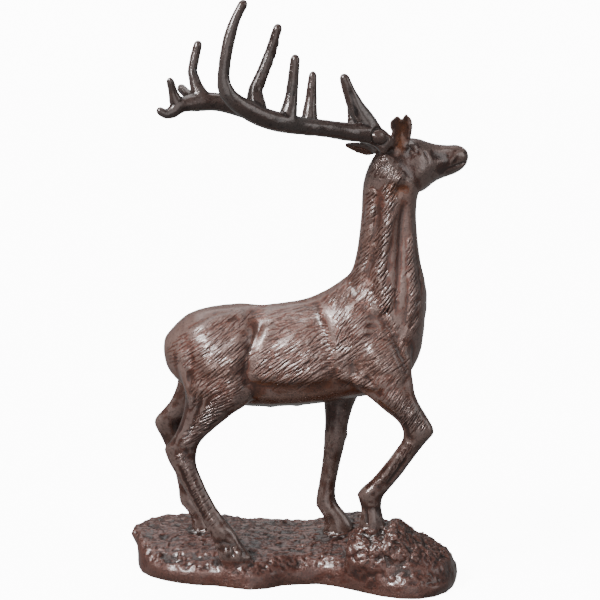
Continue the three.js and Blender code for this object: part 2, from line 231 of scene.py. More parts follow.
class Skin:
    """The casting's skin as arrays, in the stag's own space. Its points are moved here in numbers, because no
    edit operator cuts strokes and folds as fine as these into a curved body."""

    def __init__(self, mesh):
        count = len(mesh.vertices)
        places = np.empty(count * 3)
        mesh.vertices.foreach_get("co", places)
        self.places = places.reshape(-1, 3) / MM - ZERO
        corners = np.empty(len(mesh.loops), np.int64)
        mesh.loops.foreach_get("vertex_index", corners)
        sides = np.empty(len(mesh.polygons), np.int64)
        mesh.polygons.foreach_get("loop_total", sides)
        starts = np.concatenate([[0], np.cumsum(sides)[:-1]])
        self.faces = np.stack([corners[starts], corners[starts + 1], corners[starts + 2],
                               corners[np.minimum(starts + 3, starts + sides - 1)]], axis=1)
        ends = np.empty(len(mesh.edges) * 2, np.int64)
        mesh.edges.foreach_get("vertices", ends)
        ends = ends.reshape(-1, 2)
        self.here = np.concatenate([ends[:, 0], ends[:, 1]])
        self.there = np.concatenate([ends[:, 1], ends[:, 0]])
        self.links = np.maximum(np.bincount(self.here, minlength=count), 1)
        self.rise = np.zeros(count)
        self.face_out()

    def face_out(self):
        """Works out the surface's outward direction at each point."""
        a, b, c, d = (self.places[self.faces[:, k]] for k in range(4))
        facing = np.cross(c - a, np.where((self.faces[:, 2] == self.faces[:, 3])[:, None], c - b, d - b))
        count = len(self.places)
        self.out = np.zeros((count, 3))
        for axis in range(3):
            for k in range(4):
                self.out[:, axis] += np.bincount(self.faces[:, k], facing[:, axis], count)
        self.out /= np.maximum(np.linalg.norm(self.out, axis=1), 1e-12)[:, None]

    def around(self, values):
        """The average of each point's neighbours."""
        count = len(self.links)
        if values.ndim == 1:
            return np.bincount(self.here, values[self.there], count) / self.links
        return np.stack([self.around(values[:, axis]) for axis in range(values.shape[1])], axis=1)

    def spread(self, values, times):
        """Averages values over each point's neighbours, this many times."""
        for _ in range(times):
            values = self.around(values)
        return values

    def round_off(self, times, share):
        """Smooths away the facets, then gives back the thickness that smoothing takes."""
        before = self.places.copy()
        for _ in range(times):
            self.places += RUB * share[:, None] * (self.around(self.places) - self.places)
        self.face_out()
        lost = ((before - self.places) * self.out).sum(axis=1)
        for _ in range(times):
            lost += RUB * share * (self.around(lost) - lost)
        self.places += self.out * lost[:, None]
        self.face_out()

    def settle(self):
        """Moves the surface by what has been raised or pressed since the last time."""
        self.places += self.out * self.rise[:, None]
        self.rise[:] = 0
        self.face_out()

    def near(self, line, reach):
        """The points within reach of a line's box."""
        line = np.asarray(line, float)
        low, high = line.min(axis=0) - reach, line.max(axis=0) + reach
        return np.flatnonzero(np.all((self.places > low) & (self.places < high), axis=1))

    def push(self, height, radius, line):
        """Raises (or, with a height under 0, presses) a soft-edged band that fades toward the line's ends."""
        where = self.near(line, BAND_REACH * radius)
        if len(where):
            away, along, _ = follow(line, self.places[where])
            self.rise[where] += height * fade(along, line) * np.exp(-(away / radius) ** 2)

    def melt(self, share, times):
        """Runs two masses into each other, as a modeller's thumb does along a join. The share says how
        strongly each point is rubbed, from 0 to 1."""
        where = np.flatnonzero(share > 0.01)
        place_in = np.full(len(self.places), -1)
        place_in[where] = np.arange(len(where))
        inside = (place_in[self.here] >= 0) & (place_in[self.there] >= 0)
        here, there = place_in[self.here[inside]], place_in[self.there[inside]]
        links = np.maximum(np.bincount(here, minlength=len(where)), 1)[:, None]
        spots = self.places[where]
        share = RUB * share[where, None]
        for _ in range(times):
            sums = [np.bincount(here, spots[there, axis], len(where)) for axis in range(3)]
            spots += share * (np.stack(sums, axis=1) / links - spots)
        self.places[where] = spots
        self.face_out()

    def lap(self, height, radius, lip, line):
        """Lets one mass lap over another: raised on one side of the line and pressed on the other. Going
        up the line, or forward along it, the raised side is the one behind or above."""
        where = self.near(line, BAND_REACH * radius)
        if len(where):
            away, along, side = follow(line, self.places[where])
            step = np.tanh(side / lip) * np.exp(-(away / radius) ** 2)
            self.rise[where] += height * fade(along, line) * step


# ------------------------------------------------------------------ the ground's shape

def ground_height(x, y):
    """Height of the ground, as in the solid: it rises toward the back and to the rock."""
    swell = 15 * np.exp(-((x - 56) / 34) ** 2 - ((y - 58) / 32) ** 2)
    foot = 20 * np.exp(-((x - 104) / 36) ** 2 - ((y + 16) / 30) ** 2)
    back = 10.5 * smooth_step(y, -40, 50) * (1 - smooth_step(x, 70, 130))
    return 27 + back + swell + foot - 5 * smooth_step(x, 120, 160)


def shares(skin):
    """Which points belong to the ground and which to the antlers; the rest are the stag's."""
    x, y, z = skin.places.T
    rock = (x > 44) & (y < 17) & (z < 78)
    right_fore = (np.hypot(x - 75, y + 31) < 19) & (z > 63.5)
    ground = (z < ground_height(x, y) + 2.0) | (rock & ~right_fore)
    antlers = (z > 447.5) & (x < 87.5) & ~ground
    return ground, antlers


# ------------------------------------------------------------------ muscles, bones and creases

# Each entry is a height, a radius and a line. Those of the trunk and neck are given for the right side.
FORMS = [
    # thigh, stifle, ham and croup
    (4.0, 22, [(-80, -41, 238)]),
    (2.8, 11, [(-70, -43, 222), (-62, -44, 206)]),
    (2.0, 9, [(-112, -28, 252), (-92, -30, 264), (-64, -22, 276)]),
    (-3.0, 9, [(-44, -17, 281), (-42, -29, 268)]),
    (-2.4, 7, [(-104, -38, 240), (-102, -41, 222), (-105, -40, 206)]),
    (1.8, 7, [(-88, -43, 226)]),
    # barrel and flank
    (3.0, 22, [(-6, -39, 244), (8, -40, 240)]),
    (1.6, 9, [(18, -40, 222), (-20, -40, 222)]),
    (1.2, 5, [(-29, -8, 178)]),
    (1.3, 5, [(-2, -8, 179)]),
    (-1.6, 12, [(18, -30, 276), (24, -37, 258), (27, -40, 238)]),
    # shoulder blade, upper arm and chest
    (3.0, 14, [(50, -34, 278)]),
    (2.6, 11, [(64, -39, 262)]),
    (3.8, 14, [(76, -42, 240)]),
    (2.6, 10, [(92, -41, 230)]),
    (3.0, 9, [(50, -40, 226), (60, -42, 218)]),
    (-2.2, 5, [(88, -34, 281)]),
    (1.4, 5, [(77, -35, 284)]),
    (2.6, 12, [(113, -31, 258)]),
    (-2.0, 10, [(56, -24, 304), (78, -31, 298)]),
]

CREASES = [
    # flank fold in front of the thigh, with the lit edge of the flank ahead of it
    (-2.7, 5.0, [(-37, -24, 275), (-40, -30, 263), (-43, -35, 253), (-47, -39, 242), (-50, -41, 230),
                 (-51, -41, 219), (-46, -38, 206)]),
    (1.6, 8.0, [(-26, -27, 270), (-31, -33, 259), (-35, -37, 247), (-38, -39, 232), (-39, -40, 220)]),
    (1.5, 7.0, [(-53, -36, 262), (-59, -41, 248), (-62, -43, 232), (-62, -43, 214)]),
    # long soft furrows over the thigh
    (-1.2, 3.0, [(-55, -33, 266), (-67, -38, 260), (-78, -41, 252), (-88, -41, 240), (-99, -39, 226)]),
    (1.0, 3.8, [(-51, -36, 258), (-63, -41, 249), (-74, -43, 242), (-90, -41, 230)]),
    (-1.1, 3.0, [(-52, -39, 248), (-62, -42, 240), (-74, -43, 230), (-90, -41, 214)]),
    (-0.8, 2.8, [(-58, -43, 228), (-70, -44, 218), (-82, -44, 206), (-93, -43, 194)]),
    (1.5, 5.0, [(-61, -43, 236), (-67, -44, 228), (-70, -44, 216)]),
    (-1.0, 3.4, [(-66, -43, 206), (-80, -44, 196), (-92, -43, 184)]),
    # ham line down the back of the thigh
    (-1.7, 4.0, [(-107, -38, 246), (-104, -40, 231), (-106, -39, 214), (-107, -39, 196)]),
    (1.6, 3.8, [(-114, -33, 226), (-111, -36, 212), (-107, -39, 196), (-104, -41, 182)]),
    (1.0, 4.0, [(-62, -20, 277), (-84, -27, 270), (-106, -30, 258)]),
    (-1.1, 3.4, [(-56, -21, 273), (-74, -30, 266), (-94, -32, 257)]),
    # edge of the shoulder
    (1.0, 6.5, [(20, -19, 292), (29, -29, 278), (35, -37, 262), (38, -40, 246), (37, -41, 230),
                (34, -39, 216)]),
    (0.7, 5.0, [(32, -18, 299), (37, -27, 288), (42, -33, 277)]),
    # folds where the shoulder meets the chest
    (1.2, 2.0, [(68, -38, 272), (76, -38, 274), (84, -37, 273)]),
    (-0.9, 1.7, [(66, -38, 267), (74, -38, 269), (83, -38, 268), (89, -37, 266)]),
    (1.2, 2.0, [(66, -40, 262), (76, -40, 264), (91, -38, 260)]),
    (-1.0, 1.7, [(70, -41, 258), (80, -41, 259), (93, -38, 254)]),
    # the front of the upper arm, where it leaves the chest
    (-2.1, 4.6, [(78, -34, 277), (86, -36, 271), (92, -37, 262), (97, -38, 250), (102, -39, 237),
                 (106, -38, 225), (105, -36, 210)]),
    # hollow and point of the elbow, and the edge above the forearm
    (-0.6, 3.0, [(48, -41, 227), (54, -42, 231), (60, -43, 237), (66, -43, 243)]),
    (0.9, 3.0, [(46, -40, 232), (52, -42, 240), (60, -42, 247)]),
    (2.0, 4.6, [(42, -38, 221), (51, -40, 217), (60, -41, 214), (69, -42, 215)]),
    (-1.3, 3.0, [(66, -42, 224), (73, -42, 215), (80, -42, 209), (88, -42, 204)]),
    (-1.0, 3.0, [(80, -43, 208), (94, -42, 205), (108, -38, 208)]),
    # crest, grooves and cords of the neck
    (1.6, 5.5, [(71, -16, 394), (68, -18, 352), (62, -19, 326), (55, -20, 304)]),
    (-1.6, 4.6, [(78, -20, 396), (78, -22, 363), (73, -24, 339), (68, -27, 315), (64, -32, 298)]),
    (2.5, 5.2, [(90, -22, 402), (87, -24, 369), (82, -27, 339), (79, -30, 322), (83, -34, 300),
                (88, -37, 282)]),
    (-2.8, 4.0, [(103, -17, 396), (101, -20, 363), (100, -23, 339), (99, -28, 316), (98, -32, 298),
                 (96, -36, 274)]),
    (1.8, 4.4, [(110, -14, 394), (111, -15, 350), (112, -20, 322), (114, -25, 294), (112, -31, 264)]),
    (-1.3, 3.2, [(118, -8, 374), (119, -10, 340), (121, -13, 312), (122, -16, 288)]),
    # hollow behind the jaw, and the tuft above it
    (-2.6, 6.0, [(96, -20, 400), (104, -18, 402)]),
    (1.6, 3.0, [(93, -19, 407), (98, -18, 412), (104, -15, 417)]),
    (1.4, 3.6, [(86, -16, 436), (88, -16, 431)]),
]

# Where one mass laps over the next: a height, a reach, a lip and the line of the edge.
LAPS = [
    (2.3, 13, 4.2, [(-54, -40, 214), (-34, -40, 211), (-10, -41, 209), (14, -41, 211), (40, -40, 216)]),
    (-1.3, 12, 5.0, [(34, -39, 212), (37, -40, 230), (37, -39, 246), (32, -36, 263), (24, -28, 280),
                     (15, -18, 294)]),
    (1.3, 9, 3.0, [(107, -36, 206), (107, -38, 224), (103, -39, 237), (98, -39, 250), (92, -37, 262),
                   (83, -34, 273)]),
    (1.5, 9, 2.2, [(38, -38, 219), (49, -40, 212), (63, -42, 209), (76, -42, 206), (92, -42, 203)]),
]

# Joins that a modeller's thumb would run together: a radius, how often it is rubbed and the line. They are
# the head into the neck on both sides, the foot of the rock, the hoof on it, and both upper arms.
JOINS = [
    (8, 600, [(96, -16, 441), (104, -15, 433), (110, -14, 424), (115, -12, 415), (119, -9, 408),
              (123, -4, 402)]),
    (8, 600, [(78, 14, 438), (82, 18, 426), (87, 20, 414), (94, 22, 404), (104, 20, 396)]),
    (8, 400, [(48, -46, 28), (64, -50, 28), (80, -53, 29), (99, -54, 30), (131, -50, 27), (152, -31, 23)]),
    (8, 220, [(62, -36, 86), (75, -41, 84), (88, -36, 84)]),
    (9, 300, [(97, -34, 264), (103, -33, 254), (108, -33, 245), (110, -33, 236), (111, -34, 226)]),
    (9, 300, [(97, 34, 264), (103, 33, 254), (108, 33, 245), (110, 33, 236), (111, 34, 226)]),
]

# How often the rim of the ground is rubbed, and the facets of the solid. These and the counts in JOINS are
# for points SMOOTHING_GRAIN apart, and a finer grain takes more.
RIM_RUBS = 260
FACET_RUBS = 80
SMOOTHING_GRAIN = 0.75 * MM

# The bank of earth along the foot of the rock.
ROCK_FOOT = (2.5, 8, [(44, -46, 27), (64, -50, 27), (80, -53, 28), (99, -54, 29), (131, -50, 26),
                      (154, -30, 22)])

# The legs each stand in their own way, so each has its own tendons, joints and clefts.
LEGS = [
    # right hind: cord down to the hock, hock, shank, fetlock and dewclaws
    (1.5, 2.4, [(-101, -42, 206), (-108, -42, 180), (-114, -41, 160), (-121, -40, 146)]),
    (-1.5, 2.8, [(-92, -45, 204), (-99, -44, 180), (-105, -43, 163), (-112, -42, 150)]),
    (1.0, 4, [(-131, -34, 140)]),
    (0.9, 3.5, [(-106, -42, 138), (-104, -42, 128)]),
    (-1.0, 2.0, [(-118, -42, 128), (-111, -41, 108), (-101, -41, 86), (-91, -41, 66)]),
    (0.8, 2.2, [(-112, -43, 128), (-103, -42, 106), (-93, -41, 84), (-84, -42, 66)]),
    (2.2, 2.4, [(-91, -39, 57)]),
    (2.2, 2.4, [(-91, -29, 57)]),
    (1.3, 5.0, [(-74, -40, 58)]),
    (-1.1, 2.6, [(-76, -42, 48), (-68, -43, 45), (-60, -42, 43)]),
    (-1.6, 1.3, [(-56, -34, 48), (-50, -34, 39), (-45, -34, 30)]),
    (1.8, 2.4, [(-79, -40, 43)]),
    (1.6, 2.2, [(-70, -44, 37)]),
    (1.8, 2.6, [(-58, -43, 36)]),
    (-1.3, 1.4, [(-66, -43, 44), (-64, -44, 38), (-64, -44, 32)]),
    # left hind
    (1.3, 2.6, [(-128, 40, 186), (-136, 41, 170), (-144, 40, 157)]),
    (1.0, 3.6, [(-149, 33, 152)]),
    (-0.9, 2.0, [(-137, 41, 128), (-130, 41, 104), (-123, 41, 80)]),
    (2.2, 2.4, [(-128, 38, 62)]),
    (2.2, 2.4, [(-128, 29, 62)]),
    (1.2, 4.6, [(-114, 41, 66)]),
    (-1.1, 2.6, [(-113, 43, 53), (-102, 43, 51), (-94, 42, 50)]),
    (-1.6, 1.3, [(-95, 35, 55), (-89, 35, 46), (-85, 35, 38)]),
    # right fore: forearm, knee, shank and hoof on the rock
    (1.4, 7, [(96, -41, 196), (112, -40, 180)]),
    (-1.2, 2.6, [(80, -40, 196), (94, -41, 183), (106, -40, 172)]),
    (1.3, 3.4, [(130, -34, 162)]),
    (-1.2, 3.0, [(108, -40, 170), (112, -40, 158)]),
    (1.0, 2.6, [(104, -38, 163), (104, -38, 156)]),
    (1.1, 2.4, [(104, -38, 143), (92, -38, 124), (80, -38, 108)]),
    (-1.1, 2.0, [(110, -38, 139), (99, -38, 121), (88, -38, 106)]),
    (1.6, 4.4, [(69, -37, 97)]),
    (2.0, 2.2, [(61, -36, 95)]),
    (2.0, 2.2, [(61, -27, 95)]),
    (-0.6, 2.6, [(64, -38, 86), (74, -40, 84), (86, -37, 84)]),
    (-1.6, 1.3, [(86, -31, 80), (89, -31, 70), (91, -31, 62)]),
    (1.8, 3.4, [(83, -40, 116), (75, -41, 106), (68, -40, 98)]),
    (-1.6, 1.8, [(69, -39, 86), (70, -39, 76), (71, -38, 66)]),
    (1.2, 2.6, [(64, -36, 84), (63, -35, 74), (63, -35, 66)]),
    (0.9, 3.2, [(78, -40, 82), (79, -40, 72)]),
    # left fore
    (1.2, 7, [(36, 40, 176), (34, 40, 160)]),
    (1.2, 4, [(44, 30, 142)]),
    (-0.9, 2.0, [(30, 38, 128), (25, 38, 100), (22, 38, 80)]),
    (1.4, 4.4, [(24, 38, 70)]),
    (2.0, 2.2, [(14, 34, 67)]),
    (2.0, 2.2, [(14, 25, 67)]),
    (-1.2, 2.4, [(24, 39, 54), (34, 40, 55), (44, 38, 57)]),
    (-1.6, 1.3, [(46, 29, 60), (51, 29, 52), (54, 29, 44)]),
]

# In the head's own space: forward from the turning line, to the side, and up. Each is made on both sides.
HEAD = [
    (1.2, 6, [(6, 14, 438)]),
    (1.8, 7, [(28, 17, 414), (34, 15, 406)]),
    (1.6, 3.0, [(11, 13, 443), (20, 12.5, 444), (29, 11.5, 442)]),
    (-1.1, 5.2, [(21, 16, 436)]),
    (-1.0, 4.5, [(46, 13, 433), (60, 11, 431)]),
    (-1.3, 2.0, [(34, 15, 438), (38, 15.5, 427), (40, 15, 418), (39, 13.5, 409)]),
    (1.0, 2.6, [(43, 14, 414), (53, 12.5, 411), (64, 11, 412)]),
    (0.8, 2.4, [(60, 7, 438), (74, 7, 437.5)]),
]

FACE = [
    (1.7, 2.5, [(20.5, 16, 436.5)]),
    (1.0, 1.25, [(15.5, 16.5, 436), (18, 16.5, 439.3), (22.5, 16, 439.5), (26, 15, 437)]),
    (0.8, 1.1, [(15.5, 17, 435.5), (19.5, 17.8, 432.8), (26, 16, 435.5)]),
    (-0.7, 1.6, [(27, 15, 435.5), (32, 14.5, 431)]),
    (-1.5, 1.2, [(89, 0, 425.5), (87, 6, 424.5), (82, 10.5, 423.3), (70, 11.8, 420), (58, 12.6, 417)]),
    (1.0, 1.6, [(76, 9.5, 434.5), (70, 11.2, 429), (64, 12.2, 423.5)]),
    (0.8, 1.5, [(84, 8, 421), (72, 11, 416.5), (62, 12, 414)]),
    (-2.0, 1.5, [(86, 5.5, 430.5), (83, 8.2, 432)]),
    (0.9, 1.3, [(87, 3, 433), (83, 7, 435)]),
]


def in_head(line, side):
    """A line of the head's own space, on one side, in the stag's space."""
    forward, out, up = np.asarray(line, float).T
    across = side * out
    return np.stack([POLL_X + forward * math.cos(HEAD_TURN) - across * math.sin(HEAD_TURN),
                     forward * math.sin(HEAD_TURN) + across * math.cos(HEAD_TURN), up], axis=1)


def mirrored(line):
    """The same line on the stag's other side."""
    return np.asarray(line, float) * (1, -1, 1)


def melt_joins(skin, fineness):
    """Rubs the joins of the solid's masses away, and the corners along the rim of the ground."""
    for radius, times, line in JOINS:
        skin.melt(closeness(line, radius, skin.places), max(int(times * fineness), 1))
    ground, _ = shares(skin)
    height = skin.places[:, 2]
    rim = smooth_step(np.hypot(skin.out[:, 0], skin.out[:, 1]), 0.3, 0.7) * ground
    rim *= smooth_step(height, 1, 5) * (1 - smooth_step(height, 24, 32))
    skin.melt(rim, max(int(RIM_RUBS * fineness), 1))


def carve_forms(skin):
    """Muscles first, then creases, joints and the face, each worked into the last."""
    height, radius, line = ROCK_FOOT
    skin.push(height, radius, line)
    for layer in (FORMS, CREASES):
        for height, radius, line in layer:
            skin.push(height, radius, line)
            skin.push(height, radius, mirrored(line))
        skin.settle()
    for height, reach, lip, line in LAPS:
        skin.lap(height, reach, lip, line)
        skin.lap(height, reach, lip, mirrored(line))
    skin.settle()
    for height, radius, line in LEGS:
        skin.push(height, radius, line)
    for layer in (HEAD, FACE):
        for height, radius, line in layer:
            for side in (RIGHT, LEFT):
                skin.push(height, radius, in_head(line, side))
        skin.settle()


# ------------------------------------------------------------------ carved hair

# The lock width that the spacings in HAIR are given for.
COMMON_LOCK = 3.0

# Each patch of hair: a line down its middle as (x, z), its half width, the slope of its cuts in degrees, how
# long a cut is, how far the cuts are apart and how deep they are, against the full depth.
HAIR = [
    ([(-122, 236), (-108, 252), (-84, 266), (-62, 272)], 9, 34, 15, 3.0, 0.5),
    ([(-106, 230), (-84, 250), (-60, 262)], 9, 38, 19, 3.0, 0.95),
    ([(-96, 220), (-76, 236), (-56, 248)], 9, 42, 21, 3.1, 1.05),
    ([(-88, 206), (-72, 220), (-56, 232)], 9, 42, 18, 3.1, 1.05),
    ([(-80, 198), (-58, 210)], 8, 34, 16, 3.0, 1.0),
    ([(-66, 194), (-84, 180), (-100, 160), (-108, 150)], 8, 27, 12, 2.9, 0.95),
    ([(-100, 214), (-98, 190)], 5, 50, 10, 2.9, 0.7),
    ([(-36, 276), (-8, 274), (18, 280)], 7, 12, 16, 2.8, 0.5),
    ([(-28, 260), (4, 264)], 7, 22, 17, 2.8, 0.6),
    ([(-34, 236), (-4, 250), (18, 254)], 9, 33, 17, 2.8, 0.8),
    ([(-34, 222), (-16, 226), (6, 238), (22, 244)], 9, 37, 19, 3.0, 1.0),
    ([(-14, 214), (14, 226), (26, 232)], 7, 37, 17, 3.0, 1.1),
    ([(6, 211), (28, 218)], 5, 32, 13, 2.9, 0.9),
    ([(24, 262), (32, 242), (33, 224)], 6, 8, 9, 2.7, 0.6),
    ([(34, 296), (50, 308), (60, 316)], 7, 46, 13, 3.0, 0.75),
    ([(44, 298), (46, 276), (48, 258)], 8, 58, 14, 2.9, 0.8),
    ([(64, 292), (60, 272), (62, 258)], 9, 44, 16, 3.1, 1.0),
    ([(44, 246), (62, 252), (80, 256)], 8, 38, 17, 3.2, 1.05),
    ([(46, 236), (66, 242), (96, 248)], 7, 37, 15, 3.1, 1.0),
    ([(68, 226), (88, 232), (100, 232)], 8, 37, 15, 3.1, 1.1),
    ([(42, 222), (54, 215), (68, 213)], 6, 40, 13, 3.0, 1.1),
    ([(76, 214), (94, 214), (104, 222)], 6, 48, 11, 2.8, 0.6),
    ([(90, 204), (104, 190), (120, 172)], 9, 58, 9, 2.7, 0.75),
    ([(-114, 132), (-106, 110), (-95, 86), (-86, 68)], 5, 40, 8, 2.6, 0.75),
    ([(112, 148), (100, 132), (88, 116)], 4, 66, 7, 2.6, 0.5),
    ([(72, 396), (69, 360), (63, 330), (57, 312)], 4.6, 44, 9, 3.2, 1.6),
    ([(91, 400), (87, 369), (82, 339), (79, 322), (84, 300), (88, 286)], 6.0, 54, 10, 3.4, 1.9),
    ([(112, 350), (113, 321), (115, 294), (113, 270)], 4.8, 56, 10, 3.2, 1.5),
    ([(70, 420), (84, 424), (96, 412)], 8, 56, 8, 2.8, 0.55),
    ([(50, 318), (64, 306), (78, 296)], 7, 50, 12, 3.0, 0.9),
    ([(76, 304), (94, 298)], 7, 58, 10, 2.9, 0.7),
    ([(84, 286), (96, 262)], 5, 52, 9, 2.8, 0.5),
    ([(60, 360), (72, 340)], 7, 50, 9, 3.0, 0.4),
    ([(104, 246), (113, 262), (117, 284)], 6, 58, 10, 3.0, 0.5),
]

# The lies of the fine hair, in degrees from level, between which every other lie is blended.
LIES = (12, 36, 60)


def hair_cover(points):
    """How much hair covers each point, and its lie in degrees."""
    cover = np.zeros(len(points))
    total = np.full(len(points), 1e-6)
    lie = LIES[1] * total
    for line, half_width, slope, *_ in HAIR:
        close = closeness(line, half_width, points[:, (0, 2)])
        cover = np.maximum(cover, close)
        total += close
        lie += close * slope
    return smooth_step(cover, 0.15, 0.6), lie / total


def turned(flat, angle):
    """How far points of the flank lie along and across a direction at this angle from level."""
    return (flat[:, 0] * math.cos(angle) + flat[:, 1] * math.sin(angle),
            flat[:, 1] * math.cos(angle) - flat[:, 0] * math.sin(angle))


def scatter(line, half_width, slope, length, spacing, seed):
    """Places cuts over a patch, in staggered rows across their slope, each a little out of place."""
    line = np.asarray(line, float)
    draw = np.random.default_rng(seed)
    turn = math.radians(slope)
    way = np.array([math.cos(turn), math.sin(turn)])
    side = np.array([-way[1], way[0]])
    middle = line.mean(axis=0)
    reach = np.abs(line - middle).sum(axis=1).max() + half_width
    cuts = []
    for row in range(int(-reach / spacing), int(reach / spacing) + 1):
        start = draw.uniform(0, 1)
        for step in range(int(-reach / length) - 1, int(reach / length) + 2):
            spot = middle + side * spacing * (row + draw.normal(0, 0.16))
            spot = spot + way * length * 0.92 * (step + start)
            spot = spot + way * length * draw.normal(0, 0.12)
            near_line = distance_to(line, spot[None])[0] / half_width
            keep = near_line + draw.normal(0, 0.16) < 1.0
            bend, tilt = draw.normal(0, 0.006), draw.normal(0, 0.09)
            long, deep = length * draw.uniform(0.6, 1.4), draw.uniform(0.5, 1.25)
            deep *= 0.85 + 0.6 * noise(np.array([[spot[0] / 22, spot[1] / 22, seed]]), 61)[0]
            fat = draw.uniform(0.75, 1.25)
            if keep:
                cuts.append((spot, turn + tilt, bend, long, deep * (1 - 0.5 * max(near_line - 0.5, 0)), fat))
    return cuts


def carve_hair(skin, sizes, coat):
    """Cuts the hair with one tool stroke after another, in the same lie on both flanks."""
    depth = sizes.lock_depth / MM
    width = sizes.lock_width / MM
    wider = width / COMMON_LOCK
    for number, (line, half_width, slope, length, spacing, share) in enumerate(HAIR):
        for side in (RIGHT, LEFT):
            reach = half_width + length
            box = np.asarray(line, float)
            x, y, z = skin.places.T
            close = (x > box[:, 0].min() - reach) & (x < box[:, 0].max() + reach)
            close &= (z > box[:, 1].min() - reach) & (z < box[:, 1].max() + reach) & (side * y > 0) & coat
            where = np.flatnonzero(close)
            flat = skin.places[where][:, (0, 2)]
            facing = smooth_step(np.abs(skin.out[where, 1]), 0.15, 0.5)
            lie_along, lie_across = turned(flat, math.radians(slope))
            patch = 1 - smooth_step(distance_to(line, flat) / half_width, 0.8, 1.4)
            clump_cells = np.column_stack([lie_along / 24, lie_across / 6.5, np.full(len(flat), number)])
            cut = 0.9 * patch * noise(clump_cells, 60)
            cuts = scatter(line, half_width, slope, length, spacing * wider, 500 + 2 * number + (side > 0))
            for spot, angle, bend, long, deep, fat in cuts:
                near = np.flatnonzero(np.abs(flat - spot).max(axis=1) < 0.6 * long)
                if not len(near):
                    continue
                along, across = turned(flat[near] - spot, angle)
                across -= bend * along ** 2
                ends = np.clip(1 - (2 * along / long) ** 2, 0, 1) ** 0.7
                groove = -np.exp(-(across / (0.21 * fat * width)) ** 2)
                ridge = 0.6 * np.exp(-((across - 0.45 * fat * width) / (0.3 * fat * width)) ** 2)
                cut[near] += deep * ends * (groove + ridge)
            skin.rise[where] += depth * share * facing * np.clip(cut, -1.6, 1.1)
    skin.settle()


# ------------------------------------------------------------------ antlers, ears and ground

LUMPY_TINE = [(-29, -90, 506), (-24, -86, 517), (-17, -82, 534), (-9, -79, 556)]
TINE_ROOTS = [(64, -19, 464), (-5, -82, 478), (-3, -82, 473), (-32, -96, 488), (-58, -121, 505),
              (53, 17, 459), (8, 14, 469), (-94, -21, 490), (-118, -31, 487), (-103, -20, 489)]
BURRS = [(80, -23, 453), (74, 20, 449)]
BROW_TINE_GROOVE = (-0.7, 2.2, [(50, -28, 503), (55, -27, 484), (59, -26, 470)])


def carve_antlers(skin, antlers):
    """Flared tine roots, a burr with a ring groove at the foot of each beam, shallow pearling, lumps along
    one tine and a groove down the brow tine."""
    where = np.flatnonzero(antlers)
    spots = skin.places[where]
    skin.rise[where] += 0.22 * noise(spots / 7.0, 5) + 0.12 * noise(spots / 2.8, 6)
    skin.rise[where] += 1.5 * closeness(LUMPY_TINE, 4.5, spots) * np.maximum(noise(spots / 3.6, 9), 0)
    for root in TINE_ROOTS:
        skin.push(2.0, 7.0, [root])
    for burr in BURRS:
        skin.push(2.8, 8.0, [burr])
    skin.settle()
    over_head = skin.places[:, 2] > 444
    for burr in BURRS:
        away = distance_to([burr], skin.places)
        skin.rise -= 1.9 * np.exp(-((away - 9.0) / 1.4) ** 2) * over_head
    height, radius, line = BROW_TINE_GROOVE
    skin.push(height, radius, line)
    skin.settle()


def shape_ear(skin):
    """The right ear is broad at its top, with a notch between its two edges and a deep hollow."""
    x, y, z = skin.places.T
    ear = (z > 450) & (x > 88) & (x < 116) & (y < 6) & (z > 462 - (x - 88))
    upper = smooth_step(z, 454, 474)
    skin.places[:, 0] += np.where(ear, 0.75 * upper * (x - 101), 0)
    x = skin.places[:, 0]
    dip = 5.5 * np.exp(-((x - 100.5) / 2.6) ** 2) * smooth_step(z, 460, 474)
    dip += 2.0 * smooth_step(-x, -101, -96) * smooth_step(z, 464, 474)
    skin.places[:, 2] -= np.where(ear, dip, 0)
    skin.face_out()
    skin.push(-1.6, 3.2, [(101, -9, 450), (101, -10, 460), (102, -11, 468)])
    skin.push(0.8, 1.6, [(94, -13, 452), (94, -13, 462), (96, -13, 470)])
    skin.push(1.0, 1.8, [(108, -8, 450), (109, -9, 460), (107, -11, 470)])
    skin.settle()


def blocks(points, size, seed):
    """Broken rock: each point's height over the tilted face of its own block, from about -1 to 1."""
    cell = np.floor(points / size)
    nearest = np.full(len(points), np.inf)
    height = np.zeros(len(points))
    for step in np.ndindex(3, 3, 3):
        home = (cell + np.array(step) - 1).astype(np.int64)
        draws = [chance(home[:, 0], home[:, 1], home[:, 2], seed + k) for k in range(7)]
        gap = points / size - home - np.stack(draws[:3], axis=1)
        away = (gap ** 2).sum(axis=1)
        closer = away < nearest
        face = draws[3] - 0.5 + (gap * (np.stack(draws[4:], axis=1) - 0.5)).sum(axis=1) * 2.2
        height = np.where(closer, face, height)
        nearest = np.where(closer, away, nearest)
    return height


# Clods of earth heaped against the right hind hoof: a height, a reach and a place.
CLODS = [
    (3.0, 4.0, (-84, -42, 38)), (3.2, 3.6, (-78, -45, 34)), (3.2, 4.4, (-70, -47, 35)),
    (2.6, 3.4, (-64, -49, 31)), (3.2, 4.2, (-57, -47, 32)), (2.6, 3.6, (-50, -45, 30)),
    (2.6, 3.0, (-74, -50, 29)), (2.4, 4.0, (-45, -40, 31)),
]


